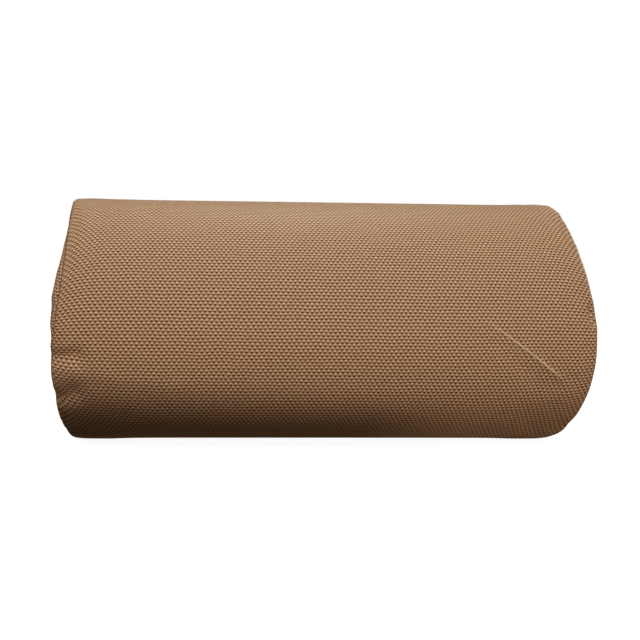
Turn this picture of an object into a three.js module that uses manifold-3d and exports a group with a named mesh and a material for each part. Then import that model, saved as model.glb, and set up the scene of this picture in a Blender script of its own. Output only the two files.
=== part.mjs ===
// A bolster pillow: a round foam core in batting and a liner, inside a woven mesh cover.
// The cover is one wrapped body panel, two round end panels and a zipper along the back.
// Millimetres. +X runs along the bolster, -Y is its front, +Z is up, and the origin is on the
// ground under its middle. Each layer is a shell of its own, and pieces that touch keep a small gap.
import * as THREE from "three";
import { mergeVertices } from "three/addons/utils/BufferGeometryUtils.js";
import Module from "manifold-3d";

// Overall sizes
const bolsterDiameter = 152.4;
const bolsterLength = 304.8; // from end seam to end seam
const endCrown = 6; // how far the middle of each end panel stands out past its seam
const restFlatWidth = 40; // the strip of the underside that settles flat

// Layers
const clothThickness = 0.9; // woven mesh cover
const linerThickness = 0.5;
const battingAtZipper = 12; // the wrap where it is thinnest, behind the zipper
const battingEndRim = 8; // the end pads at their rim
const touchGap = 0.3; // between pieces that touch
const seamThread = 0.5; // sewing thread, as thick as its row of stitches

// Zipper
const zipperAngle = THREE.MathUtils.degToRad(8); // above the middle of the back
const zipperEndMargin = 26; // from each end seam to the opening
const tapeWidth = 14.5; // each of the two tapes
const tapeThickness = 0.6;
const tapeTail = 12; // tape past each end of the opening
const chainHalfWidth = 2.2; // the coil sewn to each tape
const chainThickness = 1.9;
const stopLength = 3;
const stopMargin = 1; // from the end of the opening to its stop
const stitchOffset = 2.5; // from the edge of the opening to its row of topstitching
const stitchWidth = 0.8;

// Slider and pull tab
const runningGap = 0.3;
const sliderLength = 11;
const sliderPlate = 0.9;
const sliderFlange = 0.9;
const sliderPostWidth = 1;
const sliderPostLength = 2;
const archHalfLength = 2.2;
const archWidth = 1.6;
const archBar = 0.9;
const archRoom = 2; // clear height under the arch
const pullThickness = 1.2;
const pullRail = 1.3; // each side of the eye
const pullLength = 27;
const pullTipWidth = 6.5;

const arcStep = THREE.MathUtils.degToRad(7.5);
const crownSteps = 4;

// Worked-out sizes, as distances from the bolster's own axis
const coverRadius = bolsterDiameter / 2;
const axisHeight = Math.sqrt(coverRadius ** 2 - (restFlatWidth / 2) ** 2);
const chainGap = sliderPostWidth + 2 * runningGap;
const tapeEdge = chainGap / 2 + tapeWidth;
const zipperFlat = Math.sqrt(coverRadius ** 2 - (tapeEdge + clothThickness) ** 2);
const tapeTop = zipperFlat - clothThickness - touchGap;
const tapeBottom = tapeTop - tapeThickness;
const chainBottom = tapeTop + touchGap;
const chainTop = chainBottom + chainThickness;
const chainEdge = chainGap / 2 + chainHalfWidth;
const sliderHalfWidth = chainEdge + runningGap + sliderFlange;
const openingHalfWidth = sliderHalfWidth + 2 * runningGap;
const openingHalfLength = bolsterLength / 2 - zipperEndMargin;
const chainStart = -openingHalfLength + stopMargin + stopLength + touchGap;
const chainEnd = -chainStart;
const sliderBottom = tapeBottom - runningGap - sliderPlate;

// A layer's cross-section is a circle with two flats: the one it rests on, and the one behind the zipper.
const coverSection = {
  radius: coverRadius,
  rest: axisHeight,
  zipper: zipperFlat,
};
const linerInset = clothThickness + seamThread + 2 * touchGap;
const linerSection = {
  radius: coverRadius - linerInset,
  rest: axisHeight - linerInset,
  zipper: sliderBottom - touchGap,
};
const battingSection = inset(linerSection, linerThickness + touchGap);
const coreRadius = Math.min(battingSection.rest, battingSection.zipper) - battingAtZipper - touchGap;

function inset(section, by) {
  return { radius: section.radius - by, rest: section.rest - by, zipper: section.zipper - by };
}

// Points along an arc about the axis, ends included.
function arc(radius, from, to) {
  const steps = Math.ceil((to - from) / arcStep);
  return Array.from({ length: steps + 1 }, (_, i) => {
    const angle = from + ((to - from) * i) / steps;
    return new THREE.Vector2(radius * Math.cos(angle), radius * Math.sin(angle));
  });
}

// A section's outline, anticlockwise: over the top from the zipper's flat to the rest flat, then up the back.
function outline({ radius, rest, zipper }) {
  const down = 1.5 * Math.PI;
  const restHalfAngle = Math.acos(rest / radius);
  const zipperHalfAngle = Math.acos(zipper / radius);
  return [
    ...arc(radius, zipperAngle + zipperHalfAngle, down - restHalfAngle),
    ...arc(radius, down + restHalfAngle, 2 * Math.PI + zipperAngle - zipperHalfAngle),
  ];
}

// Extrudes a shape along the bolster, centred on its middle.
function lengthwise(shape, length) {
  const geometry = new THREE.ExtrudeGeometry(shape, { depth: length, bevelEnabled: false });
  return geometry.translate(0, 0, -length / 2);
}

function tube(section, wall, length) {
  const shape = new THREE.Shape(outline(section));
  shape.holes.push(new THREE.Path(outline(inset(section, wall))));
  return lengthwise(shape, length);
}

// A box between two corners given as [out from the axis, along the tape's width, along the bolster].
function boxBetween(low, high) {
  const size = high.map((value, i) => value - low[i]);
  const middle = high.map((value, i) => (value + low[i]) / 2);
  return new THREE.BoxGeometry(...size).translate(...middle);
}

// Booleans
const wasm = await Module();
wasm.setup();

function toSolid(geometry) {
  const bare = geometry.index ? geometry.toNonIndexed() : geometry.clone();
  bare.deleteAttribute("normal");
  bare.deleteAttribute("uv");
  const merged = mergeVertices(bare, 1e-4);
  return new wasm.Manifold(
    new wasm.Mesh({
      numProp: 3,
      vertProperties: merged.attributes.position.array,
      triVerts: new Uint32Array(merged.index.array),
    }),
  );
}

function toGeometry(solid) {
  const mesh = solid.getMesh();
  const geometry = new THREE.BufferGeometry();
  geometry.setAttribute("position", new THREE.BufferAttribute(new Float32Array(mesh.vertProperties), 3));
  geometry.setIndex(new THREE.BufferAttribute(new Uint32Array(mesh.triVerts), 1));
  geometry.computeVertexNormals();
  return geometry;
}

function join(...geometries) {
  return toGeometry(geometries.map(toSolid).reduce((whole, next) => whole.add(next)));
}

function cut(geometry, tool) {
  return toGeometry(toSolid(geometry).subtract(toSolid(tool)));
}

function common(geometry, tool) {
  return toGeometry(toSolid(geometry).intersect(toSolid(tool)));
}

// Finishes
const finishes = {
  mesh_cloth: { color: 0x96744f, roughness: 0.6, metalness: 0 },
  liner_cloth: { color: 0xe7e2d6, roughness: 0.9, metalness: 0 },
  batting: { color: 0xf2f0ea, roughness: 1, metalness: 0 },
  foam: { color: 0xe9dca6, roughness: 1, metalness: 0 },
  zipper_tape: { color: 0x6a4a2c, roughness: 0.85, metalness: 0 },
  zipper_coil: { color: 0x5c4028, roughness: 0.45, metalness: 0 },
  zipper_metal: { color: 0x8a6d4a, roughness: 0.35, metalness: 0.9 },
  thread: { color: 0x7d5d3c, roughness: 0.7, metalness: 0 },
};

function piece(name, geometry, finish) {
  const mesh = new THREE.Mesh(geometry, new THREE.MeshStandardMaterial(finishes[finish]));
  mesh.name = name;
  return mesh;
}

// The bolster's own axes: x points to the back, y up and z along it, towards +X of the part.
const alongBolster = new THREE.Group();
alongBolster.quaternion.setFromAxisAngle(new THREE.Vector3(1, 1, 1).normalize(), (2 * Math.PI) / 3);
alongBolster.position.z = axisHeight;

// The zipper's axes: x points out of the cover, y up across the tapes and z along them.
const alongZipper = new THREE.Group();
alongZipper.rotation.z = zipperAngle;
alongBolster.add(alongZipper);

const sides = [
  { name: "left", direction: -1 },
  { name: "right", direction: 1 },
];

// Height of the crowned ends above their seam, at a distance from the axis.
const crownRadius = (coverRadius ** 2 + endCrown ** 2) / (2 * endCrown);
function crownHeight(radius) {
  return endCrown - crownRadius + Math.sqrt(crownRadius ** 2 - radius ** 2);
}

// Points of the crowned surface from the axis to past the rim, moved along the axis by an offset.
function crownProfile(offset) {
  const reach = coverRadius + 2 * clothThickness;
  return Array.from({ length: crownSteps + 1 }, (_, i) => {
    const radius = (reach * i) / crownSteps;
    return new THREE.Vector2(radius, crownHeight(radius) + offset);
  });
}

// A turned solid between a lower profile and an upper one, both from the axis outwards, with its axis along z.
function turned(lower, upper) {
  const profile = [...lower, ...upper.toReversed()];
  const segments = Math.round((2 * Math.PI) / arcStep);
  return new THREE.LatheGeometry(profile, segments).rotateX(Math.PI / 2);
}

// Turns an end piece that was made for the +X end to the end it is for.
function atEnd(mesh, direction) {
  if (direction < 0) {
    mesh.scale.z = -1;
  }
  return mesh;
}

// A crowned sheet, cut to a section and placed with its inner face at a distance from the middle.
function crownedSheet(section, thickness, innerFace) {
  const sheet = turned(crownProfile(innerFace), crownProfile(innerFace + thickness));
  const prism = lengthwise(new THREE.Shape(outline(section)), 2 * bolsterLength);
  return common(sheet, prism);
}

function foamCore() {
  const shape = new THREE.Shape(arc(coreRadius, 0, 2 * Math.PI).slice(0, -1));
  return piece("foam_core", lengthwise(shape, fillLength), "foam");
}

// The wrap fills the space between the round core and the liner.
function battingWrap() {
  const shape = new THREE.Shape(outline(battingSection));
  const hole = arc(coreRadius + touchGap, 0, 2 * Math.PI).slice(0, -1);
  shape.holes.push(new THREE.Path(hole));
  return piece("batting_wrap", lengthwise(shape, fillLength), "batting");
}

// An end pad is flat against the core and crowned against the liner.
function battingEnd({ name, direction }) {
  const reach = coverRadius + 2 * clothThickness;
  const flat = [new THREE.Vector2(0, fillLength / 2 + touchGap), new THREE.Vector2(reach, fillLength / 2 + touchGap)];
  const pad = turned(flat, crownProfile(linerEndInner - touchGap));
  const prism = lengthwise(new THREE.Shape(outline(battingSection)), 2 * bolsterLength);
  return atEnd(piece(`batting_end_${name}`, common(pad, prism), "batting"), direction);
}

function linerBody() {
  const length = 2 * (linerEndInner - touchGap);
  return piece("liner_body", tube(linerSection, linerThickness, length), "liner_cloth");
}

function linerEnd({ name, direction }) {
  const sheet = crownedSheet(linerSection, linerThickness, linerEndInner);
  return atEnd(piece(`liner_end_${name}`, sheet, "liner_cloth"), direction);
}

// The body panel is one length of cloth wrapped round, open along the back where the zipper is.
function coverBody() {
  const wrapped = tube(coverSection, clothThickness, bolsterLength);
  const opening = boxBetween(
    [zipperFlat / 2, -openingHalfWidth, -openingHalfLength],
    [2 * zipperFlat, openingHalfWidth, openingHalfLength],
  ).rotateZ(zipperAngle);
  return piece("cover_body", cut(wrapped, opening), "mesh_cloth");
}

function coverEnd({ name, direction }) {
  const sheet = crownedSheet(coverSection, clothThickness, coverEndInner);
  return atEnd(piece(`cover_end_${name}`, sheet, "mesh_cloth"), direction);
}

// The row of stitches that joins an end panel to the body panel lies just inside the corner.
function endSeamThread({ name, direction }) {
  const section = inset(coverSection, clothThickness + touchGap);
  const ring = tube(section, seamThread, seamThread);
  ring.translate(0, 0, (bolsterLength - seamThread) / 2);
  return atEnd(piece(`end_seam_thread_${name}`, ring, "thread"), direction);
}

// The short seams that close the back between the opening and each end seam.
function backSeamThread({ name, direction }) {
  const from = openingHalfLength + tapeTail + touchGap;
  const to = bolsterLength / 2 - seamThread - touchGap;
  const row = boxBetween([tapeTop - seamThread, -seamThread / 2, from], [tapeTop, seamThread / 2, to]);
  return atEnd(piece(`back_seam_thread_${name}`, row, "thread"), direction);
}

const halves = [
  { name: "upper", direction: 1 },
  { name: "lower", direction: -1 },
];

// Turns a zipper piece that was made for the upper half to the half it is for.
function onHalf(mesh, direction) {
  if (direction < 0) {
    mesh.scale.y = -1;
  }
  return mesh;
}

function zipperTape({ name, direction }) {
  const reach = openingHalfLength + tapeTail;
  const tape = boxBetween([tapeBottom, chainGap / 2, -reach], [tapeTop, tapeEdge, reach]);
  return onHalf(piece(`zipper_tape_${name}`, tape, "zipper_tape"), direction);
}

// One coil, as the rounded bar that its turns fill.
function zipperChain({ name, direction }) {
  const chamfer = chainThickness / 4;
  const inner = chainGap / 2;
  const shape = new THREE.Shape([
    new THREE.Vector2(chainBottom, inner),
    new THREE.Vector2(chainBottom, chainEdge),
    new THREE.Vector2(chainTop - chamfer, chainEdge),
    new THREE.Vector2(chainTop, chainEdge - chamfer),
    new THREE.Vector2(chainTop, inner + chamfer),
    new THREE.Vector2(chainTop - chamfer, inner),
  ]);
  const bar = lengthwise(shape, chainEnd - chainStart);
  return onHalf(piece(`zipper_chain_${name}`, bar, "zipper_coil"), direction);
}

function zipperTopStop({ name, direction }) {
  const from = -openingHalfLength + stopMargin;
  const stop = boxBetween([chainBottom, chainGap / 2, from], [chainTop, chainEdge, from + stopLength]);
  return onHalf(piece(`zipper_top_stop_${name}`, stop, "zipper_metal"), direction);
}

function zipperBottomStop() {
  const from = chainEnd + touchGap;
  const stop = boxBetween([chainBottom, -chainEdge, from], [chainTop, chainEdge, from + stopLength]);
  return piece("zipper_bottom_stop", stop, "zipper_metal");
}

// The row that holds the folded edge of the cover to the tape.
function zipperStitch({ name, direction }) {
  const bottom = zipperFlat + touchGap;
  const inner = openingHalfWidth + stitchOffset;
  const row = boxBetween(
    [bottom, inner, -openingHalfLength],
    [bottom + seamThread, inner + stitchWidth, openingHalfLength],
  );
  return onHalf(piece(`zipper_stitch_${name}`, row, "thread"), direction);
}

// The slider stands at the closed end of the chain: two plates joined by a post that runs between
// the coils, flanges down both sides, and an arch on top that holds the pull tab.
function zipperSlider() {
  const plateBottom = chainTop + runningGap;
  const flangeInner = chainEdge + runningGap;
  const top = boxBetween([plateBottom, -sliderHalfWidth, 0], [plateTop, sliderHalfWidth, sliderLength]);
  const bottom = boxBetween(
    [sliderBottom, -sliderHalfWidth, 0],
    [sliderBottom + sliderPlate, sliderHalfWidth, sliderLength],
  );
  const post = boxBetween(
    [sliderBottom, -sliderPostWidth / 2, 0],
    [plateTop, sliderPostWidth / 2, sliderPostLength],
  );
  const flanges = [-1, 1].map((side) => {
    const flange = boxBetween(
      [chainBottom, flangeInner, 0],
      [plateTop, sliderHalfWidth, sliderLength],
    );
    return side < 0 ? flange.translate(0, -flangeInner - sliderHalfWidth, 0) : flange;
  });
  const middle = sliderLength / 2;
  const arch = cut(
    boxBetween(
      [plateTop - sliderPlate / 2, -archWidth / 2, middle - archHalfLength],
      [plateTop + archRoom + archBar, archWidth / 2, middle + archHalfLength],
    ),
    boxBetween(
      [plateTop, -archWidth, middle - archHalfLength + archBar],
      [plateTop + archRoom, archWidth, middle + archHalfLength - archBar],
    ),
  );
  const slider = join(top, bottom, post, ...flanges, arch);
  slider.translate(0, 0, chainStart);
  return piece("zipper_slider", slider, "zipper_metal");
}

// The pull tab: an eye whose end bar passes under the arch, and a tab that widens to a round tip.
function zipperPull() {
  const eyeInner = archWidth / 2 + runningGap;
  const eyeOuter = eyeInner + pullRail;
  const endBar = pullThickness / 2;
  const eyeReach = Math.hypot(archHalfLength, archRoom / 2 + archBar) + runningGap;
  const tipRadius = pullTipWidth / 2;
  const shape = new THREE.Shape();
  shape.moveTo(-eyeOuter, -endBar);
  shape.lineTo(eyeOuter, -endBar);
  shape.lineTo(tipRadius, pullLength - tipRadius);
  shape.absarc(0, pullLength - tipRadius, tipRadius, 0, Math.PI, false);
  shape.lineTo(-tipRadius, pullLength - tipRadius);
  shape.closePath();
  shape.holes.push(
    new THREE.Path([
      new THREE.Vector2(-eyeInner, endBar),
      new THREE.Vector2(-eyeInner, eyeReach),
      new THREE.Vector2(eyeInner, eyeReach),
      new THREE.Vector2(eyeInner, endBar),
    ]),
  );
  const settings = { depth: pullThickness, bevelEnabled: false, curveSegments: 8 };
  const tab = new THREE.ExtrudeGeometry(shape, settings).translate(0, 0, -pullThickness / 2);
  // The shape's x becomes the tape's width, its y the bolster's length and its thickness points out.
  const lie = new THREE.Matrix4().makeBasis(
    new THREE.Vector3(0, 1, 0),
    new THREE.Vector3(0, 0, 1),
    new THREE.Vector3(1, 0, 0),
  );
  tab.applyMatrix4(lie);
  const pull = piece("zipper_pull", tab, "zipper_metal");
  pull.position.set(plateTop + archRoom / 2, 0, chainStart + sliderLength / 2);
  return pull;
}

// Places along the bolster, measured from its middle
const coverEndInner = bolsterLength / 2 + touchGap;
const linerEndInner = coverEndInner - touchGap - linerThickness;
const fillLength = 2 * (linerEndInner - 2 * touchGap - battingEndRim);
const plateTop = chainTop + runningGap + sliderPlate;

alongBolster.add(foamCore());
alongBolster.add(battingWrap());
alongBolster.add(...sides.map(battingEnd));
alongBolster.add(linerBody());
alongBolster.add(...sides.map(linerEnd));
alongBolster.add(coverBody());
alongBolster.add(...sides.map(coverEnd));
alongBolster.add(...sides.map(endSeamThread));

alongZipper.add(...halves.map(zipperTape));
alongZipper.add(...halves.map(zipperChain));
alongZipper.add(...halves.map(zipperTopStop));
alongZipper.add(zipperBottomStop());
alongZipper.add(...halves.map(zipperStitch));
alongZipper.add(...sides.map(backSeamThread));
alongZipper.add(zipperSlider());
alongZipper.add(zipperPull());

const bolster = new THREE.Group();
bolster.add(alongBolster);

export default bolster;
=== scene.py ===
"""A round bolster pillow: foam and batting in a liner, inside a zipped cover of coated mesh cloth."""
import math

import bmesh
import bpy
from mathutils import Matrix, Vector, noise
from mathutils.bvhtree import BVHTree


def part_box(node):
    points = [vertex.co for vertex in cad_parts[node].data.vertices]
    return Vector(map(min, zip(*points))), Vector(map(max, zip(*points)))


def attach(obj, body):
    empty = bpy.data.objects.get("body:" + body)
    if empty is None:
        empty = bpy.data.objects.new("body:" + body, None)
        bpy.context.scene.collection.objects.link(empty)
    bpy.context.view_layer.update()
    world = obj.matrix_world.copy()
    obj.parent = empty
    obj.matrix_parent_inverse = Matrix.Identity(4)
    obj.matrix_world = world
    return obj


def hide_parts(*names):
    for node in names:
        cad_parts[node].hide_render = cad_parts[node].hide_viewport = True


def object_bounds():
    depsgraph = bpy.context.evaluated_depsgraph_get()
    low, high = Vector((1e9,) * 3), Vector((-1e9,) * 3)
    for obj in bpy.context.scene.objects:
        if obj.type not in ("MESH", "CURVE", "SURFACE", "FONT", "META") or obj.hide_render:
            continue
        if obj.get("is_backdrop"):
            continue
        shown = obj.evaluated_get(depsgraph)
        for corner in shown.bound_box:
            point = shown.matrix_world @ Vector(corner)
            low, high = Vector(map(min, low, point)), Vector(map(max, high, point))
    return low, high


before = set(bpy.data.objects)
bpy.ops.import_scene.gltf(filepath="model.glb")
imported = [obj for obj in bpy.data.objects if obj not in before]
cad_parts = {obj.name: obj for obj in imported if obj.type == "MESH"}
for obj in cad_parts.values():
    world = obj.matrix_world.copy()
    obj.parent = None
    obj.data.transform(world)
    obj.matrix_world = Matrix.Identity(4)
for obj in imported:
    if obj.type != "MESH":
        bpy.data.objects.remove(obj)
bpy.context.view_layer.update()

MM = 0.001

# ---------------------------------------------------------------------------
# Stuffed form. Zipped up, the round fill pushes the cover out until its cloth
# is tight, settles flat where it lies and crowns both ends. Every layer below
# is laid on this form, a little further in than the one outside it.
# ---------------------------------------------------------------------------
body_low, body_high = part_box("cover_body")
half_length = (body_high.x - body_low.x) / 2
radius = 76.2 * MM
rest_flat = 40 * MM
axis_height = math.sqrt(radius ** 2 - (rest_flat / 2) ** 2)
taper = 0.031  # the right end is stuffed this much fuller than the middle, and the left end less
zipper_angle = math.radians(172)  # from the front, over the top, to the middle of the zipper
zipper_flat = 74.46 * MM  # from the axis to the cloth beside the zipper
zipper_room = 1.0 * MM  # that the layers inside give the zipper
corner_drop = 2.0 * MM  # how far the end seams pull the cloth in
corner_reach = 3.5 * MM
groove_depth = 1.3 * MM
groove_width = 1.1 * MM
gather_height = {-1: 0.5 * MM, 1: 0.3 * MM}  # of the folds at the left and the right end seam
gather_reach = 7 * MM
end_crown = 9.5 * MM
sag = 2.2 * MM  # the fill settles, which pushes the cloth out low on both sides
sag_turn, sag_width = 0.7, 0.42  # radians: how far below level it pushes most, and over how much


def smooth(low, high, value):
    """0 below low, 1 above high, and an S-shaped ramp between."""
    t = min(1.0, max(0.0, (value - low) / (high - low)))
    return t * t * (3 - 2 * t)


def bell(distance, width):
    return math.exp(-((distance / width) ** 2))


def off_zipper(angle):
    """The turn from the middle of the zipper, as a signed angle."""
    return (angle - zipper_angle + math.pi) % (2 * math.pi) - math.pi


def frontness(angle):
    return smooth(math.radians(20), math.radians(75), abs(off_zipper(angle)))


def seam_x(side, angle):
    """Where an end seam lies. The fill leans, so each end is pulled in at some places round it."""
    front = smooth(-0.5, 0.2, math.cos(angle))
    if side < 0:
        lean = -1.6 + 4.0 * bell(angle - 0.65, 0.6) - 1.4 * bell(angle + 0.2, 0.3)
        lean += 0.8 * bell(angle - 1.2, 0.25) + 2.2 * bell(angle + 1.15, 0.35)
    else:
        lean = 1.2 - 5.0 * smooth(-0.2, 0.9, angle) + 3.3 * bell(angle + 0.3, 0.6)
    return side * half_length + lean * MM * front


# Creases that the cloth keeps where the bolster was squeezed: the two ends of each, as millimetres
# along the bolster and degrees up from its front, then its half-width and height in millimetres.
creases = (
    ((90, 9), (144, -25), 1.8, 0.9),  # the long ridge down to the right end
    ((84, 3), (133, -29), 5.0, -0.6),  # and the hollow under it
    ((-72, -23), (-38, 21), 6.0, -0.35),
    ((48, 30), (63, -4), 6.0, -0.3),
    ((-114, 43), (-101, 66), 4.0, -0.5),
    ((-156, -15), (-88, -24), 5.0, 0.5),
    ((-155, -11), (-142, -10), 4.0, -3.0),  # the two hollows at the left seam
    ((-156, -31), (-144, -27), 6.0, -2.8),
    ((-131, 4), (-118, 33), 5.0, -0.25),
    ((149.5, 14), (152.5, 3), 1.7, -3.2),  # the tuck at the right seam
)
into_seam = 150  # mm from the middle: a crease that starts past this doesn't fade towards its ends


def crease_height(x, angle):
    total = 0.0
    here = Vector((x, angle * radius))
    for (x0, a0), (x1, a1), width, height in creases:
        start = Vector((x0 * MM, math.radians(a0) * radius))
        run = Vector((x1 * MM, math.radians(a1) * radius)) - start
        along = (here - start).dot(run) / run.length_squared
        nearest = start + run * min(1.0, max(0.0, along))
        fade = smooth(0, 0.25, along) * smooth(1, 0.75, along) if abs(x0) < into_seam else 1.0
        total += height * MM * fade * bell((here - nearest).length, width * MM)
    return total


def gathers(side, distance, angle):
    """The small folds that a gathered seam sends into the cloth, uneven round the seam."""
    place = Vector((math.cos(angle), math.sin(angle), 0.37 * side))
    fold = noise.noise(place * 9) + 0.6 * noise.noise(place * 21)
    return gather_height[side] * fold * math.exp(-distance / gather_reach)


def tube(around, along):
    """A tube of quads of unit radius, from x = 0 to 1, its rings closest at the ends.

    One of its columns lies on the zipper."""
    bm = bmesh.new()
    bmesh.ops.create_circle(bm, segments=around, radius=1.0)
    bmesh.ops.rotate(bm, verts=bm.verts, matrix=Matrix.Rotation(math.pi / 2, 3, "Y"))
    bmesh.ops.rotate(bm, verts=bm.verts, matrix=Matrix.Rotation(math.pi - zipper_angle, 3, "X"))
    bmesh.ops.spin(bm, geom=bm.edges[:], cent=(0, 0, 0), axis=(1, 0, 0),
                   dvec=(1 / along, 0, 0), angle=0, steps=along)
    bmesh.ops.remove_doubles(bm, verts=bm.verts, dist=1e-5)
    turn = 0.85 * math.pi / 2
    for v in bm.verts:
        v.co.x = 0.5 + 0.5 * math.sin((2 * v.co.x - 1) * turn) / math.sin(turn)
    return bm


def disc(around, rings):
    """A disc of quads of unit radius in the plane x = 0, its rings closest at the rim."""
    bm = bmesh.new()
    bmesh.ops.create_circle(bm, segments=around, radius=1.0)
    bmesh.ops.rotate(bm, verts=bm.verts, matrix=Matrix.Rotation(math.pi / 2, 3, "Y"))
    bmesh.ops.rotate(bm, verts=bm.verts, matrix=Matrix.Rotation(math.pi - zipper_angle, 3, "X"))
    reaches = [1 - (1 - ring / rings) ** 1.5 for ring in range(rings + 1)]
    edges = bm.edges[:]
    for inner, outer in zip(reaches[-2:0:-1], reaches[:1:-1]):
        grown = bmesh.ops.extrude_edge_only(bm, edges=edges)["geom"]
        verts = [v for v in grown if isinstance(v, bmesh.types.BMVert)]
        edges = [e for e in grown if isinstance(e, bmesh.types.BMEdge)]
        bmesh.ops.scale(bm, vec=(1, inner / outer, inner / outer), verts=verts)
    middle = bmesh.ops.contextual_create(bm, geom=edges)["faces"]
    bmesh.ops.poke(bm, faces=middle)
    return bm


def angle_of(point):
    return math.atan2(point.z, -point.y)


swell_rows, swell_columns = 60, 96
swell_edge = 5 * MM  # the table of the swell stops this far short of the seams
swell_share = 0.15  # of the simulated puckers, as the firm fill irons out the rest
swell_most = 0.7 * MM
end_rows = 15
end_reach = 0.97  # the share of the way out from an end's middle at which its table stops


def blown_up():
    """Blows up a closed cloth form under pressure, with its end seams drawn up and its zipper strip held.

    Returns how far the side moved out, ring by ring, and how far each end did, from its middle
    to its rim."""
    bm = tube(swell_columns, swell_rows)
    for v in bm.verts:
        angle = angle_of(v.co)
        r = radius - 1.5 * MM
        v.co = Vector(((2 * v.co.x - 1) * (half_length - 2 * MM), -r * math.cos(angle),
                       max(2 * MM, axis_height + r * math.sin(angle))))
    bmesh.ops.holes_fill(bm, edges=[e for e in bm.edges if e.is_boundary])
    bmesh.ops.recalc_face_normals(bm, faces=bm.faces)
    mesh = bpy.data.meshes.new("blown")
    bm.to_mesh(mesh)
    bm.free()
    blown = bpy.data.objects.new("blown", mesh)
    scene = bpy.context.scene
    scene.collection.objects.link(blown)
    remesh = blown.modifiers.new("even mesh", "REMESH")
    remesh.mode, remesh.voxel_size = "VOXEL", 5 * MM
    even = bpy.data.meshes.new_from_object(blown.evaluated_get(bpy.context.evaluated_depsgraph_get()))
    blown.modifiers.clear()
    blown.data = even
    held = blown.vertex_groups.new(name="held")
    drawn = blown.vertex_groups.new(name="drawn up")
    for v in even.vertices:
        strip = radius * abs(off_zipper(angle_of(v.co - Vector((0, 0, axis_height)))))
        rests = v.co.z < 3 * MM
        if rests or (strip < 18 * MM and abs(v.co.x) < half_length - 8 * MM):
            held.add([v.index], 1.0, "REPLACE")
        rim = math.hypot(v.co.y, v.co.z - axis_height) > radius - 9 * MM
        seam = half_length - 2 * MM - abs(v.co.x)
        if rim and seam < 9 * MM:
            drawn.add([v.index], 1.0, "REPLACE")
    cloth = blown.modifiers.new("cloth", "CLOTH")
    cloth.settings.quality = 5
    cloth.settings.mass = 0.3
    cloth.settings.tension_stiffness = 15
    cloth.settings.compression_stiffness = 15
    cloth.settings.shear_stiffness = 5
    cloth.settings.bending_stiffness = 0.05
    cloth.settings.use_pressure = True
    cloth.settings.uniform_pressure_force = 4
    cloth.settings.effector_weights.gravity = 0
    cloth.settings.vertex_group_mass = "held"
    cloth.settings.vertex_group_shrink = "drawn up"
    cloth.settings.shrink_max = 0.1
    trees = []
    for step in range(1, 21):
        scene.frame_set(step)
        if step in (1, 20):
            trees.append(BVHTree.FromObject(blown, bpy.context.evaluated_depsgraph_get()))
    middle = Vector((0, 0, axis_height))

    def moved(start, direction):
        before, after = (tree.ray_cast(start, direction)[3] for tree in trees)
        return (after or 0.0) - (before or 0.0) if before else 0.0

    side = []
    for row in range(swell_rows + 1):
        x = (2 * row / swell_rows - 1) * (half_length - swell_edge)
        ring = []
        for column in range(swell_columns):
            angle = 2 * math.pi * column / swell_columns
            outward = Vector((0, -math.cos(angle), math.sin(angle)))
            ring.append(moved(middle + Vector((x, 0, 0)), outward))
        mean = sum(ring) / len(ring)
        side.append([min(swell_most, max(-swell_most, swell_share * (value - mean))) for value in ring])
    ends = []
    for direction in (-1, 1):
        rows = []
        for row in range(end_rows):
            reach = end_reach * radius * row / (end_rows - 1)
            ring = []
            for column in range(swell_columns):
                angle = 2 * math.pi * column / swell_columns
                start = middle + Vector((0, -reach * math.cos(angle), reach * math.sin(angle)))
                ring.append(moved(start, Vector((direction, 0, 0))))
            rows.append(ring)
        ends.append(rows)
    scene.frame_set(1)
    bpy.data.objects.remove(blown)
    return side, ends


def looked_up(table, row, angle):
    """A value of a table whose columns go round: straight lines between its rows and its columns."""
    row = min(len(table) - 1.001, max(0.0, row))
    column = (angle / (2 * math.pi)) % 1 * swell_columns
    i, j = int(row), int(column) % swell_columns
    s, t = row - i, column - int(column)
    k = (j + 1) % swell_columns
    return ((table[i][j] * (1 - t) + table[i][k] * t) * (1 - s)
            + (table[i + 1][j] * (1 - t) + table[i + 1][k] * t) * s)


side_swell, end_swell = blown_up()


def swell(x, angle):
    if side_swell is None:
        return 0.0
    return looked_up(side_swell, (x / (half_length - swell_edge) + 1) / 2 * swell_rows, angle)


def form(x, angle, inset=0.0):
    """A point of the stuffed form's side, or of a layer that lies an inset inside it."""
    left = max(0.0, x - seam_x(-1, angle))
    right = max(0.0, seam_x(1, angle) - x)
    off = abs(off_zipper(angle))
    away = smooth(12 * MM, 28 * MM, radius * off)
    r = radius * (1 + taper * frontness(angle) * x / half_length)
    centre = math.sqrt(r ** 2 - (rest_flat / 2) ** 2)
    for turn in (-sag_turn, sag_turn - math.pi, sag_turn + math.pi):
        r += sag * bell(angle - turn, sag_width)
    stretched = 0.8 * bell(angle - 1.35, 0.45)  # the tops of both ends are pulled tight over their seams
    near_seams = math.exp(-left / corner_reach) + math.exp(-right / corner_reach)
    r -= corner_drop * (1 - stretched) * near_seams
    r -= groove_depth * (bell(left, groove_width) + bell(right, groove_width))
    r += away * (swell(x, angle) + gathers(-1, left, angle) + gathers(1, right, angle)
                 + crease_height(x, angle))
    flat = (zipper_flat - (zipper_room if inset else 0.0)) / math.cos(min(1.2, off))
    blend = max(0.0, 0.6 * MM - abs(r - flat)) / (0.6 * MM)
    r = min(r, flat) - blend ** 2 * 0.15 * MM - inset
    return Vector((x, -r * math.cos(angle), max(centre + r * math.sin(angle), inset)))


def linear(code):
    """An sRGB hex colour as the linear values that nodes take."""
    parts = [int(code[i:i + 2], 16) / 255 for i in (1, 3, 5)]
    return [p / 12.92 if p <= 0.04045 else ((p + 0.055) / 1.055) ** 2.4 for p in parts] + [1.0]


def new_material(name):
    material = bpy.data.materials.new(name)
    material.use_nodes = True
    material.node_tree.nodes.clear()
    return material


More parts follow.
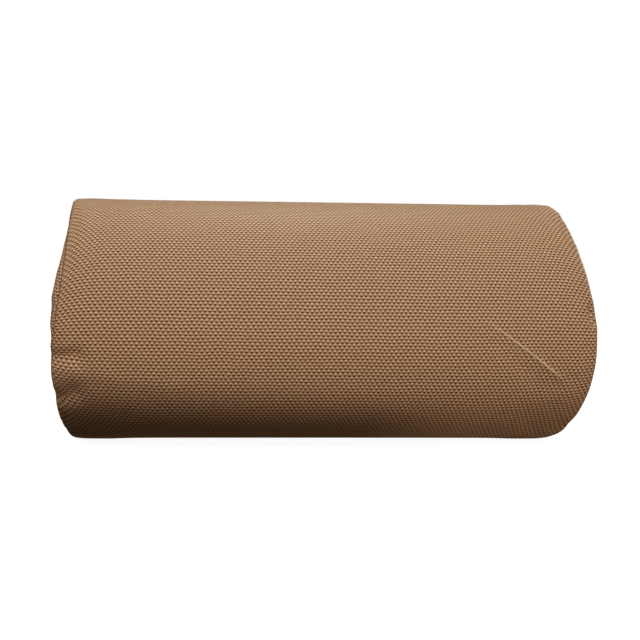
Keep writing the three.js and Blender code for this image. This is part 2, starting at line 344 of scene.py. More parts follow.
def add(material, kind, inputs=None, **settings):
    """Adds a node: settings are its own properties, inputs its sockets' values or links."""
    node = material.node_tree.nodes.new("ShaderNode" + kind)
    for name, value in settings.items():
        setattr(node, name, value)
    for name, value in (inputs or {}).items():
        socket = node.inputs[name]
        if isinstance(value, bpy.types.NodeSocket):
            material.node_tree.links.new(value, socket)
        else:
            socket.default_value = value
    return node


def finish_with(material, inputs):
    """Ends a material in a Principled shader."""
    shader = add(material, "BsdfPrincipled", inputs)
    add(material, "OutputMaterial", {"Surface": shader.outputs["BSDF"]})
    return material


def piece(name, bm, material, rides, replaces, smooth_faces=True):
    """Makes a bmesh a piece that rides on a body in place of its CAD nodes."""
    mesh = bpy.data.meshes.new(name)
    bm.to_mesh(mesh)
    bm.free()
    if smooth_faces:
        mesh.shade_smooth()
    mesh.materials.append(material)
    made = bpy.data.objects.new(name, mesh)
    bpy.context.scene.collection.objects.link(made)
    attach(made, rides)
    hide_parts(*replaces)
    return made


def facing_out(bm, outward):
    """Turns an open sheet's faces to the side that outward gives for a face's middle."""
    bmesh.ops.recalc_face_normals(bm, faces=bm.faces)
    if sum(f.normal.dot(outward(f.calc_center_median())) for f in bm.faces) < 0:
        bmesh.ops.reverse_faces(bm, faces=bm.faces)


def from_axis(point):
    return Vector((0, point.y, point.z - axis_height))


# ---------------------------------------------------------------------------
# Foam core. A bar of soft polyether foam, cut round with a hot wire, which
# leaves a pale open-celled surface. It carries the batting.
# ---------------------------------------------------------------------------
core_low, core_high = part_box("foam_core")
core_radius = (core_high.z - core_low.z) / 2 - 1 * MM
core_half = (core_high.x - core_low.x) / 2 - 4 * MM


def cut_foam():
    """Foam: matt, pale yellow, with open cells about a millimetre across."""
    material = new_material("cut polyether foam")
    place = add(material, "TexCoord").outputs["Object"]
    cells = add(material, "TexVoronoi", {"Vector": place, "Scale": 900.0})
    tone = add(material, "ValToRGB", {"Fac": cells.outputs["Distance"]})
    tone.color_ramp.elements[0].color = linear("#c9b777")
    tone.color_ramp.elements[1].color = linear("#ece0ab")
    pits = add(material, "Bump", {
        "Height": cells.outputs["Distance"], "Strength": 0.6, "Distance": 0.5 * MM})
    return finish_with(material, {
        "Base Color": tone.outputs["Color"], "Roughness": 0.95, "Normal": pits.outputs["Normal"]})


bm = bmesh.new()
bmesh.ops.create_cone(bm, cap_ends=True, segments=96, radius1=core_radius, radius2=core_radius,
                      depth=2 * core_half)
rims = [e for e in bm.edges if all(abs(abs(v.co.z) - core_half) < 1e-6 for v in e.verts)]
bmesh.ops.bevel(bm, geom=rims, offset=3 * MM, affect="EDGES", segments=4, profile=0.5, material=-1)
bmesh.ops.rotate(bm, verts=bm.verts, matrix=Matrix.Rotation(math.pi / 2, 3, "Y"))
bmesh.ops.translate(bm, vec=(0, 0, axis_height), verts=bm.verts)
foam_core = piece("foam_core_soft", bm, cut_foam(), "pillow", ["foam_core"])

# ---------------------------------------------------------------------------
# Batting. Bonded polyester wadding: one length rolled round the core and a pad
# on each end. It rounds the core's edges and crowns the ends of the bolster.
# ---------------------------------------------------------------------------
liner_inset = 3.0 * MM
batting_inset = liner_inset + 0.9 * MM
batting_depth = 12 * MM
pad_depth = 9 * MM
end_pull = 0.8 * MM  # the broad unevenness of an end
end_pucker = 1.3 * MM  # and the short folds near its seam
largest_bulge = 1.0
if end_swell:
    largest_bulge = max(max(row) for rows in end_swell for row in rows[:10])


def fullness(side, angle):
    """How squarely an end's crown meets its seam: most at the front, a little above the middle."""
    return 2 + 5 * bell(angle - 0.35, 0.4) if side < 0 else 4 + 5 * bell(angle - 0.1, 0.35)


def end_point(side, angle, reach, inset=0.0):
    """A point of a crowned end, or of a layer inside it, at an angle and a share of the way out."""
    seam = seam_x(side, angle) - side * inset
    rim = form(seam, angle, inset)
    middle = side * (half_length - 1.5 * MM - inset)
    if end_swell:
        crown = looked_up(end_swell[side > 0], reach / end_reach * (end_rows - 1), angle) / largest_bulge
        crown = max(0.0, crown) * (1 - reach ** 10)
        crown = 0.35 * crown + 0.65 * (1 - reach ** fullness(side, angle))
    else:
        crown = 1 - reach ** fullness(side, angle)
    around = Vector((math.cos(angle), math.sin(angle), side))
    pull = end_pull * noise.noise(around * reach * 2.4) * (1 - reach ** 8)
    pucker = end_pucker * noise.noise(around * 8) * smooth(0.7, 0.95, reach) * (1 - reach ** 12)
    tuck = groove_depth * bell((1 - reach) * radius, groove_width)
    if side < 0:
        crown *= 1 + 0.3 * bell(angle - 0.3, 0.45) * smooth(0.3, 0.9, reach)
    x = middle + (seam - middle) * reach ** 2 + side * (end_crown * crown + pull + pucker - tuck)
    return Vector((x, rim.y * reach, axis_height + (rim.z - axis_height) * reach))


def wadding():
    """Batting: soft white fibre with no gloss, its fibres matted together."""
    material = new_material("bonded polyester wadding")
    place = add(material, "TexCoord").outputs["Object"]
    fibres = add(material, "TexNoise", {"Vector": place, "Scale": 700.0, "Detail": 8.0, "Distortion": 1.5})
    tone = add(material, "ValToRGB", {"Fac": fibres.outputs["Fac"]})
    tone.color_ramp.elements[0].color = linear("#d9d8d3")
    tone.color_ramp.elements[1].color = linear("#fbfaf6")
    fluff = add(material, "Bump", {"Height": fibres.outputs["Fac"], "Strength": 0.8, "Distance": 1 * MM})
    return finish_with(material, {
        "Base Color": tone.outputs["Color"], "Roughness": 1.0, "Sheen Weight": 0.3,
        "Normal": fluff.outputs["Normal"]})


wadding_finish = wadding()
bm = tube(96, 60)
for v in bm.verts:
    angle = angle_of(v.co)
    low = seam_x(-1, angle) + pad_depth + batting_inset
    high = seam_x(1, angle) - pad_depth - batting_inset
    v.co = form(low + (high - low) * v.co.x, angle, batting_inset)
facing_out(bm, from_axis)
batting = piece("batting_wrap_soft", bm, wadding_finish, "pillow", ["batting_wrap"])
wall = batting.modifiers.new("batting thickness", "SOLIDIFY")
wall.thickness, wall.offset = batting_depth, -1

for side, name in ((-1, "left"), (1, "right")):
    bm = disc(96, 12)
    pad = bm.faces[:]
    for v in bm.verts:
        v.co = end_point(side, angle_of(v.co), min(1.0, math.hypot(v.co.y, v.co.z)), batting_inset)
    back = bmesh.ops.extrude_face_region(bm, geom=pad)["geom"]
    for v in back:
        if isinstance(v, bmesh.types.BMVert):
            v.co.x = side * (half_length - pad_depth) - side * batting_inset
    bmesh.ops.recalc_face_normals(bm, faces=bm.faces)
    made = piece(f"batting_end_{name}_soft", bm, wadding_finish, "pillow", [f"batting_end_{name}"])

# ---------------------------------------------------------------------------
# Inner liner. Plain white polyester ticking, sewn as a tube and two discs, that
# keeps the batting together when the cover is taken off for washing.
# ---------------------------------------------------------------------------
liner_wall = 0.4 * MM


def plain_weave(name, light, dark, pitch, roughness):
    """A close plain weave in millimetre coordinates: each thread a soft ridge, over and under."""
    material = new_material(name)
    place = add(material, "UVMap", uv_map="weave").outputs["UV"]
    turns = add(material, "VectorMath", {0: place, 1: (math.pi / pitch,) * 3}, operation="MULTIPLY")
    across = add(material, "SeparateXYZ", {"Vector": turns.outputs["Vector"]})
    ridge = [add(material, "Math", {0: across.outputs[axis]}, operation="SINE").outputs["Value"]
             for axis in "XY"]
    over = add(material, "Math", {0: ridge[0], 1: ridge[1]}, operation="MULTIPLY").outputs["Value"]
    share = add(material, "MapRange", {"Value": over, "From Min": -1.0, "From Max": 1.0}).outputs["Result"]
    tone = add(material, "ValToRGB", {"Fac": share})
    tone.color_ramp.elements[0].color = linear(dark)
    tone.color_ramp.elements[1].color = linear(light)
    threads = add(material, "Bump", {"Height": share, "Strength": 0.5, "Distance": 0.15 * MM})
    return finish_with(material, {
        "Base Color": tone.outputs["Color"], "Roughness": roughness, "Normal": threads.outputs["Normal"]})


spread_reach = 62  # mm below the front's middle over which the rows come to be fully spread


def lay_weave(bm, length, girth, dip=(0.0, 0.0), spread=0.0):
    """Gives a tube's face corners their place on the cloth in millimetres, and on the unrolled panel.

    The rows dip towards the front's middle as they near each end seam, and the sag spreads them
    below it."""
    weave = bm.loops.layers.uv.new("weave")
    unrolled = bm.loops.layers.uv.new("OFBake")
    front = 0.508 * girth
    for face in bm.faces:
        middle = off_zipper(angle_of(face.calc_center_median())) % (2 * math.pi)
        for loop in face.loops:
            turn = off_zipper(angle_of(loop.vert.co)) % (2 * math.pi)
            if turn - middle > math.pi:
                turn -= 2 * math.pi
            if middle - turn > math.pi:
                turn += 2 * math.pi
            across = turn / (2 * math.pi)
            along = loop.vert.co.x * length
            left, right = (math.exp(-distance / 9) for distance in (along, length - along))
            eased = 1 + dip[0] * left + dip[1] * right
            below = max(0.0, front - across * girth) / spread_reach
            given = min(1.0, below) ** 3 - min(1.0, below) ** 4 / 2 + max(0.0, below - 1)
            row = front + (across * girth - front) * eased + spread * spread_reach * given
            loop[unrolled].uv = (loop.vert.co.x, across)
            loop[weave].uv = (along, row)


def lay_round_weave(bm, reach):
    """The same for a round panel, whose threads run straight across it."""
    weave = bm.loops.layers.uv.new("weave")
    unrolled = bm.loops.layers.uv.new("OFBake")
    for face in bm.faces:
        for loop in face.loops:
            flat = Vector((loop.vert.co.y, loop.vert.co.z))
            loop[unrolled].uv = flat / 2 + Vector((0.5, 0.5))
            loop[weave].uv = flat * reach


ticking = plain_weave("woven polyester ticking", "#efece3", "#cfcabd", 0.9, 0.85)
bm = tube(96, 60)
lay_weave(bm, 303, 466)
for v in bm.verts:
    angle = angle_of(v.co)
    low, high = seam_x(-1, angle) + liner_inset, seam_x(1, angle) - liner_inset
    v.co = form(low + (high - low) * v.co.x, angle, liner_inset)
facing_out(bm, from_axis)
liner = piece("liner_body_soft", bm, ticking, "pillow", ["liner_body"])
wall = liner.modifiers.new("cloth thickness", "SOLIDIFY")
wall.thickness, wall.offset = liner_wall, -1

for side, name in ((-1, "left"), (1, "right")):
    bm = disc(96, 14)
    lay_round_weave(bm, 74)
    for v in bm.verts:
        v.co = end_point(side, angle_of(v.co), min(1.0, math.hypot(v.co.y, v.co.z)), liner_inset)
    facing_out(bm, lambda point: Vector((side, 0, 0)))
    liner = piece(f"liner_end_{name}_soft", bm, ticking, "pillow", [f"liner_end_{name}"])
    wall = liner.modifiers.new("cloth thickness", "SOLIDIFY")
    wall.thickness, wall.offset = liner_wall, -1

# ---------------------------------------------------------------------------
# Cover. Mesh cloth woven from vinyl-coated polyester yarn, heat-set so that the
# yarns stay put: tan floats round small dark gaps, drawn with a painted highlight
# on the floats and painted shade in the gaps. One panel is wrapped round and a
# round panel is sewn into each end, their raw edges turned inside.
# ---------------------------------------------------------------------------
float_pitch = 2.66  # mm along the bolster from one float to the next in a row
row_pitch = 1.90  # mm round the bolster from row to row; each row is half a float over from the last
rows_round = 252
cloth_wall = 0.7 * MM
shade_width = 0.7 * MM  # of the shade that an end seam draws over the cloth
allowance = 5 * MM
opening_half_length = 126.4 * MM
opening_half_width = 4.8 * MM
around, along = 216, 190
fold_start = (236, 263)  # mm on the cloth, where the long crease down to the right end is pressed in
fold_turn = math.radians(-35.6)
fold_fades = ((2, 32), (68, 56))  # mm along it, where the pressed line comes in and runs out
# 2c1606 is painted shade along the end seams.
# 4a2208 is the gaps' own dark together with painted shade under the floats.
# f6e6cc is a painted highlight along the pressed fold.
hole_dark_and_shade, painted_fold_highlight, painted_seam_shade_colour = "#4a2208", "#f6e6cc", "#2c1606"


def mesh_cloth():
    """Coated mesh cloth: smooth rounded floats with a satin gloss and a painted highlight, and dark gaps
    with painted shade between them.

    It has a painted highlight along the pressed fold, and painted shade along each end seam."""
    material = new_material("woven vinyl-coated polyester mesh")

    def sums(operation, *values):
        return add(material, "Math", dict(enumerate(values)), operation=operation).outputs["Value"]

    def ramp(value, low, high):
        return add(material, "MapRange", {"Value": value, "From Min": low, "From Max": high},
                   interpolation_type="SMOOTHSTEP").outputs["Result"]

    def mixed(colour, other, share):
        return add(material, "Mix", {6: colour, 7: linear(other), 0: share}, data_type="RGBA").outputs[2]

    place = add(material, "UVMap", uv_map="weave").outputs["UV"]
    wander = add(material, "TexNoise", {"Vector": place, "Scale": 0.11, "Detail": 2.0}).outputs["Color"]
    shift = add(material, "VectorMath", {0: wander, 1: (0.5, 0.5, 0.5)}, operation="SUBTRACT")
    moved = add(material, "VectorMath", {
        0: shift.outputs["Vector"], 1: (0.9, 0.9, 0.0), 2: place}, operation="MULTIPLY_ADD")
    turns = add(material, "VectorMath", {
        0: moved.outputs["Vector"], 1: (2 * math.pi / float_pitch, math.pi / row_pitch, 0.0)},
        operation="MULTIPLY").outputs["Vector"]
    across = add(material, "SeparateXYZ", {"Vector": turns})
    along_row = sums("COSINE", across.outputs["X"])

    def spots(lift, flatness, low, high):
        """Ovals on the weave's staggered lattice, lifted from the gaps by a share of a row."""
        over_rows = sums("COSINE", sums("SUBTRACT", across.outputs["Y"], math.pi * lift))
        middles = sums("MULTIPLY", sums("MULTIPLY", along_row, sums("SIGN", over_rows)), -1.0)
        edges = sums("SUBTRACT", sums("ABSOLUTE", over_rows), 1.0)
        return ramp(sums("MULTIPLY_ADD", edges, flatness, middles), low, high)

    # The gaps: dark holes, with painted shade under the float beside each.
    gap = spots(0.0, 3.7, -0.7, 0.5)
    # The float tops: a painted highlight, set about half a row off each gap as light from above falls on
    # the floats.
    crest_and_highlight = spots(0.55, 3.0, -0.6, 0.9)
    uneven = add(material, "TexNoise", {"Vector": place, "Scale": 0.5, "Detail": 3.0}).outputs["Fac"]
    lit = sums("MULTIPLY_ADD", crest_and_highlight, 0.7, sums("MULTIPLY", uneven, 0.3))
    # The yarn's own darker tan, rising to the painted highlight on the float tops.
    yarn = add(material, "ValToRGB", {"Fac": lit})
    yarn.color_ramp.elements[0].color = linear("#8f6c49")
    yarn.color_ramp.elements[1].color = linear("#dbcdb9")
    # The pressed fold: a raised line in the bump, with a painted highlight along it.
    folded = add(material, "Mapping", {
        "Vector": place, "Location": (*fold_start, 0), "Rotation": (0, 0, fold_turn)},
        vector_type="TEXTURE")
    fold = add(material, "SeparateXYZ", {"Vector": folded.outputs["Vector"]})
    comes_in, runs_out = (ramp(fold.outputs["X"], *fade) for fade in fold_fades)
    pressed = sums("MULTIPLY", ramp(sums("ABSOLUTE", fold.outputs["Y"]), 0.9, 0.1),
                   sums("MULTIPLY", comes_in, runs_out))
    # Painted shade along the end seams, as a share stored on the cloth's vertices.
    painted_shade_at_seams = add(material, "Attribute", attribute_name="painted shade at the seams").outputs["Fac"]
    # Paints the gaps dark, and with them the shade under the floats.
    tone = mixed(yarn.outputs["Color"], hole_dark_and_shade, gap)
    # Paints the highlight along the pressed fold.
    tone = mixed(tone, painted_fold_highlight, sums("MULTIPLY", pressed, 0.45))
    # Paints the shade along the end seams.
    tone = mixed(tone, painted_seam_shade_colour, sums("MULTIPLY", painted_shade_at_seams, 0.75))
    height = sums("MULTIPLY_ADD", sums("SUBTRACT", crest_and_highlight, gap), 0.5, pressed)
    yarns = add(material, "Bump", {"Height": height, "Strength": 0.7, "Distance": 0.35 * MM})
    return finish_with(material, {
        "Base Color": tone, "Roughness": 0.5, "Specular IOR Level": 0.12,
        "Normal": yarns.outputs["Normal"]})


cover_cloth = mesh_cloth()
opening_edge_angle = math.atan(opening_half_width / zipper_flat)
column_step = 2 * math.pi / around


def panel_angle(angle):
    """Moves the second column each side of the zipper's middle to the edge of its opening."""
    off = off_zipper(angle)
    if abs(abs(off) - 2 * column_step) < column_step / 2:
        return zipper_angle + math.copysign(opening_edge_angle, off)
    return angle


def panel_point(share, angle):
    """The body panel from one turned-in edge, over the form, to the other."""
    low, high = seam_x(-1, angle), seam_x(1, angle)
    along = (high - low + 2 * allowance) * share - allowance
    over = max(0.0, -along, along - (high - low))
    x = low + min(high - low, max(0.0, along))
    point = form(x, angle)
    strip = radius * abs(off_zipper(angle))
    if over == 0:
        beyond = smooth(opening_half_length, opening_half_length + 4 * MM, abs(x))
        return point - from_axis(point).normalized() * groove_depth * beyond * bell(strip, 1.5 * MM)
    turned = from_axis(point) * (1 - over / radius)
    return Vector((x - math.copysign(min(over, 1.5 * MM), x), turned.y, turned.z + axis_height))


bm = tube(around, along)
cut_length = 2 * half_length + 2 * allowance
lay_weave(bm, cut_length / MM, rows_round * row_pitch, (0.28, 0.16), spread=0.22)
# Each vertex's share of the painted shade, from how near it lies to an end seam.
painted_shade_at_seams = bm.verts.layers.float.new("painted shade at the seams")
columns = {}
for v in bm.verts:
    angle = panel_angle(angle_of(v.co))
    v.co = panel_point(v.co.x, angle)
    v[painted_shade_at_seams] = sum(bell(v.co.x - seam_x(side, angle), shade_width) for side in (-1, 1))
    if abs(off_zipper(angle)) < opening_edge_angle * 1.01:
        columns.setdefault(round(off_zipper(angle), 4), []).append(v)
for column in columns.values():
    for end in (-1, 1):
        nearest = min(column, key=lambda v: abs(v.co.x - end * opening_half_length))
        nearest.co.x = end * opening_half_length


def in_opening(face):
    point = face.calc_center_median()
    off = abs(off_zipper(angle_of(from_axis(point))))
    return off < opening_edge_angle and abs(point.x) < opening_half_length


bmesh.ops.delete(bm, geom=[f for f in bm.faces if in_opening(f)], context="FACES")
facing_out(bm, from_axis)
cover_body = piece("cover_body_cloth", bm, cover_cloth, "pillow", ["cover_body"])
wall = cover_body.modifiers.new("cloth thickness", "SOLIDIFY")
wall.thickness, wall.offset = cloth_wall, -1

for side, name in ((-1, "left"), (1, "right")):
    bm = disc(around, 30)
    lay_round_weave(bm, 76)
    # Each vertex's share of the painted shade, from how near the rim it lies.
    painted_shade_at_seams = bm.verts.layers.float.new("painted shade at the seams")
    for v in bm.verts:
        reach = min(1.0, math.hypot(v.co.y, v.co.z))
        v[painted_shade_at_seams] = bell((1 - reach) * radius, shade_width)
        v.co = end_point(side, angle_of(v.co), reach)
    facing_out(bm, lambda point: Vector((side, 0, 0)))
    end = piece(f"cover_end_{name}_cloth", bm, cover_cloth, "pillow", [f"cover_end_{name}"])
    wall = end.modifiers.new("cloth thickness", "SOLIDIFY")
    wall.thickness, wall.offset = cloth_wall, -1

# ---------------------------------------------------------------------------
# End seams and back seam. Bonded polyester thread in lockstitch, pulled down
# into the seams that it closes: round both ends, and past both ends of the zipper.
# ---------------------------------------------------------------------------
thread_width = 0.5 * MM
seam_stitch = 2.8 * MM
ring_sink = 1.2 * MM  # how far the ring of stitches lies inside the cover
back_sink = 1.4 * MM


def spun_thread():
    """Bonded thread: smooth and slightly glossy, with fine diagonal plies."""
    material = new_material("bonded polyester sewing thread")
    place = add(material, "TexCoord").outputs["Object"]
    plies = add(material, "TexWave", {"Vector": place, "Scale": 900.0, "Distortion": 1.0},
                bands_direction="DIAGONAL")
    tone = add(material, "ValToRGB", {"Fac": plies.outputs["Fac"]})
    tone.color_ramp.elements[0].color = linear("#7d5c3c")
    tone.color_ramp.elements[1].color = linear("#b08b63")
    twist = add(material, "Bump", {"Height": plies.outputs["Fac"], "Strength": 0.5, "Distance": 0.1 * MM})
    return finish_with(material, {
        "Base Color": tone.outputs["Color"], "Roughness": 0.45, "Normal": twist.outputs["Normal"]})


def add_stitch(bm, start, end, width):
    """One stitch, thick in the middle and dipping into the cloth at both ends."""
    verts = bmesh.ops.create_uvsphere(bm, u_segments=6, v_segments=5, radius=1.0)["verts"]
    run = end - start
    turn = run.to_track_quat("Z", "Y").to_matrix().to_4x4()
    size = Matrix.Diagonal((width / 2, width / 2, run.length / 2, 1))
    bmesh.ops.transform(bm, matrix=Matrix.Translation((start + end) / 2) @ turn @ size, verts=verts)


thread = spun_thread()
for side, name in ((-1, "left"), (1, "right")):
    bm = bmesh.new()
    count = round(2 * math.pi * radius / seam_stitch)
    points = []
    for k in range(count):
        angle = 2 * math.pi * k / count - math.pi
        points.append(form(seam_x(side, angle) - side * ring_sink, angle, ring_sink))
    for k in range(count):
        add_stitch(bm, points[k - 1], points[k], thread_width)
    piece(f"end_seam_stitches_{name}", bm, thread, "pillow", [f"end_seam_thread_{name}"])
    bm = bmesh.new()
    start, stop = opening_half_length + 1 * MM, half_length - 3 * MM
    count = round((stop - start) / seam_stitch)
    points = [form(side * (start + (stop - start) * k / count), zipper_angle, back_sink)
              for k in range(count + 1)]
    for k in range(count):
        add_stitch(bm, points[k], points[k + 1], thread_width)
    piece(f"back_seam_stitches_{name}", bm, thread, "pillow", [f"back_seam_thread_{name}"])

# ---------------------------------------------------------------------------
# Zipper tapes. Woven polyester tape, brown, one along each edge of the opening
# under the cloth, with the chain sewn along its inner edge.
# ---------------------------------------------------------------------------
tape_rib = 0.8 * MM


def woven_tape():
    """Zipper tape: dense fine ribs across the tape, matt."""
    material = new_material("woven polyester zipper tape")
    place = add(material, "TexCoord").outputs["Object"]
    ribs = add(material, "TexWave", {"Vector": place, "Scale": math.pi / 10 / tape_rib, "Distortion": 0.3},
               bands_direction="X")
    tone = add(material, "ValToRGB", {"Fac": ribs.outputs["Fac"]})
    tone.color_ramp.elements[0].color = linear("#4b3420")
    tone.color_ramp.elements[1].color = linear("#7a5a3c")
    relief = add(material, "Bump", {"Height": ribs.outputs["Fac"], "Strength": 0.5, "Distance": 0.2 * MM})
    return finish_with(material, {
        "Base Color": tone.outputs["Color"], "Roughness": 0.85, "Normal": relief.outputs["Normal"]})


tape_finish = woven_tape()
for name in ("zipper_tape_upper", "zipper_tape_lower"):
    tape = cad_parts[name]
    tape.data.materials.clear()
    tape.data.materials.append(tape_finish)

# ---------------------------------------------------------------------------
# Zipper chain. Nylon monofilament wound into a flat coil for each side; the
# loops of one side lock between those of the other.
# ---------------------------------------------------------------------------
chain_half_length = 122.1 * MM
coil_pitch = 1.5 * MM
coil_wire = 0.62 * MM
coil_height = 74.5 * MM  # from the bolster's axis to the middle of the coil
coil_radius = 1.15 * MM
coil_from_middle = 1.38 * MM
# From a place with x along the zipper, y down the back and z out of it
at_zipper = (Matrix.Translation((0, 0, axis_height))
             @ Matrix.Rotation(math.pi / 2 - zipper_angle, 4, "X"))


def nylon():
    """Nylon monofilament: smooth, brown, with a soft plastic gloss."""
    material = new_material("extruded nylon monofilament")
    place = add(material, "TexCoord").outputs["Object"]
    streaks = add(material, "TexNoise", {"Vector": place, "Scale": 600.0, "Detail": 3.0})
    tone = add(material, "ValToRGB", {"Fac": streaks.outputs["Fac"]})
    tone.color_ramp.elements[0].color = linear("#5d4229")
    tone.color_ramp.elements[1].color = linear("#82623f")
    drawn = add(material, "Bump", {
        "Height": streaks.outputs["Fac"], "Strength": 0.2, "Distance": 0.05 * MM})
    return finish_with(material, {
        "Base Color": tone.outputs["Color"], "Roughness": 0.35, "Normal": drawn.outputs["Normal"]})


coil_finish = nylon()
for side, name, start in ((-1, "upper", 0.0), (1, "lower", coil_pitch / 2)):
    bm = bmesh.new()
    bmesh.ops.create_circle(bm, segments=6, radius=coil_wire / 2)
    bmesh.ops.translate(bm, vec=(0, coil_radius, 0), verts=bm.verts)
    bmesh.ops.spin(bm, geom=bm.edges[:], cent=(0, 0, 0), axis=(1, 0, 0), angle=2 * math.pi, steps=12,
                   use_merge=True)
    bmesh.ops.scale(bm, vec=(1, 1.15, 0.6), verts=bm.verts)
    first = (start - chain_half_length + coil_wire, side * coil_from_middle, coil_height)
    bmesh.ops.translate(bm, vec=first, verts=bm.verts)
    bmesh.ops.transform(bm, matrix=at_zipper, verts=bm.verts)
    bmesh.ops.recalc_face_normals(bm, faces=bm.faces)
    coil = piece(f"zipper_coil_{name}", bm, coil_finish, "pillow", [f"zipper_chain_{name}"])
    turns = coil.modifiers.new("turns of the coil", "ARRAY")
    turns.use_relative_offset, turns.use_constant_offset = False, True
    turns.constant_offset_displace = (coil_pitch, 0, 0)
    turns.count = round((2 * chain_half_length - 2 * coil_wire) / coil_pitch)

# ---------------------------------------------------------------------------
# Zipper stops. Small brass staples pressed over the tapes: one on each tape at
# the left, and a wider one over both at the right.
# ---------------------------------------------------------------------------


def pressed_brass():
    """Plated brass: bright but slightly dulled, with fine handling scratches."""
    material = new_material("plated pressed brass")
    place = add(material, "TexCoord").outputs["Object"]
    dull = add(material, "TexNoise", {"Vector": place, "Scale": 400.0, "Detail": 5.0})
    tone = add(material, "ValToRGB", {"Fac": dull.outputs["Fac"]})
    tone.color_ramp.elements[0].color = linear("#9a7a45")
    tone.color_ramp.elements[1].color = linear("#d0b072")
    rub = add(material, "MapRange", {"Value": dull.outputs["Fac"], "To Min": 0.25, "To Max": 0.45})
    scratches = add(material, "Bump", {
        "Height": dull.outputs["Fac"], "Strength": 0.15, "Distance": 0.05 * MM})
    return finish_with(material, {
        "Base Color": tone.outputs["Color"], "Metallic": 1.0, "Roughness": rub.outputs["Result"],
        "Normal": scratches.outputs["Normal"]})


brass = pressed_brass()


def rounded(node, edge):
    """A copy of a CAD node with its sharp edges rounded as pressing leaves them."""
    bm = bmesh.new()
    bm.from_mesh(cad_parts[node].data)
    bmesh.ops.transform(bm, matrix=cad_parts[node].matrix_world, verts=bm.verts)
    bmesh.ops.remove_doubles(bm, verts=bm.verts, dist=0.01 * MM)
    bmesh.ops.dissolve_limit(bm, angle_limit=math.radians(1), verts=bm.verts[:], edges=bm.edges[:])
    sharp = [e for e in bm.edges if len(e.link_faces) == 2 and e.calc_face_angle() > math.radians(30)]
    bmesh.ops.bevel(bm, geom=sharp, offset=edge, affect="EDGES", segments=3, profile=0.5, material=-1,
                    clamp_overlap=True)
    return bm


for node in ("zipper_top_stop_upper", "zipper_top_stop_lower", "zipper_bottom_stop"):
    piece(f"{node}_pressed", rounded(node, 0.5 * MM), brass, "pillow", [node])

# ---------------------------------------------------------------------------
# Slider. Die-cast brass: two plates joined by a wedge, with rims that hold the
# chain between them and an arch on top that holds the pull.
# ---------------------------------------------------------------------------
piece("zipper_slider_cast", rounded("zipper_slider", 0.25 * MM), brass, "slider", ["zipper_slider"])

# ---------------------------------------------------------------------------
# Pull. A tab of plated brass, stamped from sheet, and open at the end that hangs
# on the slider's arch.
# ---------------------------------------------------------------------------
piece("zipper_pull_stamped", rounded("zipper_pull", 0.3 * MM), brass, "pull", ["zipper_pull"])

# ---------------------------------------------------------------------------
# Topstitching. A row of lockstitch each side of the opening, in the cover's
# colour, through the turned edge of the cloth and the tape under it.
# ---------------------------------------------------------------------------
row_from_middle = 7.7 * MM
top_stitch = 2.5 * MM
top_stitch_pitch = 3.1 * MM
top_stitch_width = 0.7 * MM
for side, name in ((-1, "upper"), (1, "lower")):
    bm = bmesh.new()
    count = int(2 * opening_half_length / top_stitch_pitch)
    for k in range(count):
        x = (k + 0.5 - count / 2) * top_stitch_pitch
        ends = [Vector((x + step * top_stitch, side * row_from_middle, zipper_flat + 0.08 * MM))
                for step in (-0.5, 0.5)]
        add_stitch(bm, *(at_zipper @ end for end in ends), top_stitch_width)
    piece(f"zipper_topstitch_{name}", bm, thread, "pillow", [f"zipper_stitch_{name}"])

# ---------------------------------------------------------------------------
# Studio: a white floor, soft lights above and low before the front, at both sides
# and above the back, and a black card that shades the front's lower edge from the
# low one. The camera stands a little to the left.
# ---------------------------------------------------------------------------
swing = math.radians(-8.54)
climb = math.radians(6)
distance = 0.5
lean = math.radians(2.24)
toward = Vector((-math.sin(swing) * math.cos(climb), math.cos(swing) * math.cos(climb), -math.sin(climb)))
level = Vector((math.cos(swing), math.sin(swing), 0))
upright = level.cross(toward)
rightward = level * math.cos(lean) + upright * math.sin(lean)
upward = upright * math.cos(lean) - level * math.sin(lean)
aim = Vector((0, 0, axis_height)) + rightward * 1.5 * MM - upward * 0.3 * MM
camera = bpy.data.objects.new("camera", bpy.data.cameras.new("camera"))
camera.data.lens = 42.9
view = Matrix((rightward, upward, -toward)).transposed().to_4x4()
camera.matrix_world = Matrix.Translation(aim - toward * distance) @ view
bpy.context.scene.collection.objects.link(camera)
bpy.context.scene.camera = camera


def soft_light(name, place, size, power, colour, gloss=1.0):
    lamp = bpy.data.objects.new(name, bpy.data.lights.new(name, "AREA"))
    lamp.data.shape, lamp.data.size, lamp.data.energy = "DISK", size, power
    lamp.data.color, lamp.data.specular_factor = linear(colour)[:3], gloss
    lamp.location = place
    lamp.rotation_euler = (Vector((0, 0, axis_height)) - Vector(place)).to_track_quat("-Z", "Y").to_euler()
    bpy.context.scene.collection.objects.link(lamp)


soft_light("above the front", (0.05, -0.80, 0.97), 0.6, 7.9, "#fff6ea")
soft_light("low front", (0.10, -1.25, 0.10), 0.45, 8.5, "#ffdfc5")
soft_light("left", (-1.20, 0.22, 0.60), 0.6, 7.0, "#ffe6cf", 0.3)
soft_light("right", (1.20, 0.35, 0.50), 0.6, 5.0, "#ffeedd", 0.3)
soft_light("above the back", (0.05, 0.50, 1.15), 0.6, 7.1, "#fff4e6", 0.1)


def stage_piece(name, bm, material):
    mesh = bpy.data.meshes.new(name)
    bm.to_mesh(mesh)
    bm.free()
    mesh.materials.append(material)
    made = bpy.data.objects.new(name, mesh)
    bpy.context.scene.collection.objects.link(made)
    made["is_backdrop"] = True
    return made


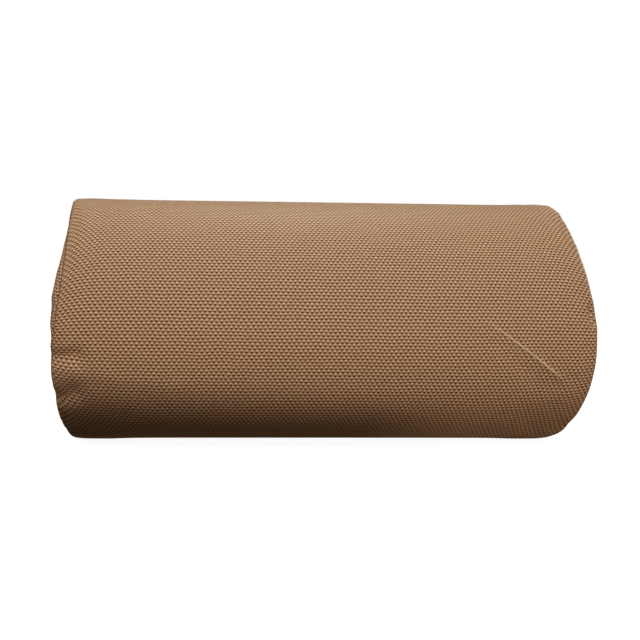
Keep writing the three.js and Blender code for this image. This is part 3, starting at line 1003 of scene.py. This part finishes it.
paper = new_material("matt white paper")
grain = add(paper, "TexNoise", {"Vector": add(paper, "TexCoord").outputs["Object"], "Scale": 40.0})
pale = add(paper, "MapRange", {"Value": grain.outputs["Fac"], "To Min": 0.3, "To Max": 0.32})
nearby = add(paper, "VectorMath", {0: add(paper, "TexCoord").outputs["Object"], 1: (0.45, 1.0, 0.0)},
             operation="MULTIPLY")
away = add(paper, "VectorMath", {0: nearby.outputs["Vector"]}, operation="LENGTH")
glow = add(paper, "MapRange", {"Value": away.outputs["Value"], "From Min": 0.07, "From Max": 0.115,
                               "To Min": 0.94, "To Max": 1.0})
finish_with(paper, {"Base Color": pale.outputs["Result"], "Roughness": 0.95, "Specular IOR Level": 0.0,
                    "Emission Color": (1, 1, 1, 1), "Emission Strength": glow.outputs["Result"]})
bm = bmesh.new()
bmesh.ops.create_grid(bm, x_segments=1, y_segments=1, size=6)
floor = stage_piece("floor", bm, paper)
floor.visible_diffuse = False
floor.visible_glossy = False

card = new_material("black card")
finish_with(card, {"Base Color": add(card, "TexNoise", {
    "Vector": add(card, "TexCoord").outputs["Object"], "Scale": 90.0}).outputs["Fac"], "Roughness": 1.0})
bm = bmesh.new()
standing = Matrix.Translation((-0.17, -0.20, 0.027)) @ Matrix.Rotation(math.radians(3.4), 4, "Y")
bmesh.ops.create_cube(bm, size=1, matrix=standing @ Matrix.Diagonal((0.46, 0.002, 0.044, 1)))
flag = stage_piece("shading card", bm, card)
flag.visible_camera = flag.visible_diffuse = flag.visible_glossy = False

world = bpy.data.worlds.new("studio")
bpy.context.scene.world = world
world.use_nodes = True
sky = world.node_tree
fill_light, gloss_light = 0.045, 0.12  # the room's light on the pieces, and what their gloss adds to it
room_tint = (1, 0.66, 0.38, 1)
path = sky.nodes.new("ShaderNodeLightPath")
seen = sky.nodes.new("ShaderNodeMath")
seen.operation = "MULTIPLY_ADD"
seen.inputs[1].default_value, seen.inputs[2].default_value = gloss_light, fill_light
sky.links.new(path.outputs["Is Glossy Ray"], seen.inputs[0])
strength = sky.nodes.new("ShaderNodeMath")
strength.operation = "MAXIMUM"
sky.links.new(path.outputs["Is Camera Ray"], strength.inputs[0])
sky.links.new(seen.outputs[0], strength.inputs[1])
sky.links.new(strength.outputs[0], sky.nodes["Background"].inputs["Strength"])
tint = sky.nodes.new("ShaderNodeMix")
tint.data_type = "RGBA"
tint.inputs[6].default_value, tint.inputs[7].default_value = room_tint, (1, 1, 1, 1)
sky.links.new(path.outputs["Is Camera Ray"], tint.inputs[0])
sky.links.new(tint.outputs[2], sky.nodes["Background"].inputs["Color"])
bpy.context.scene.view_settings.view_transform = "Standard"

low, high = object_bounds()
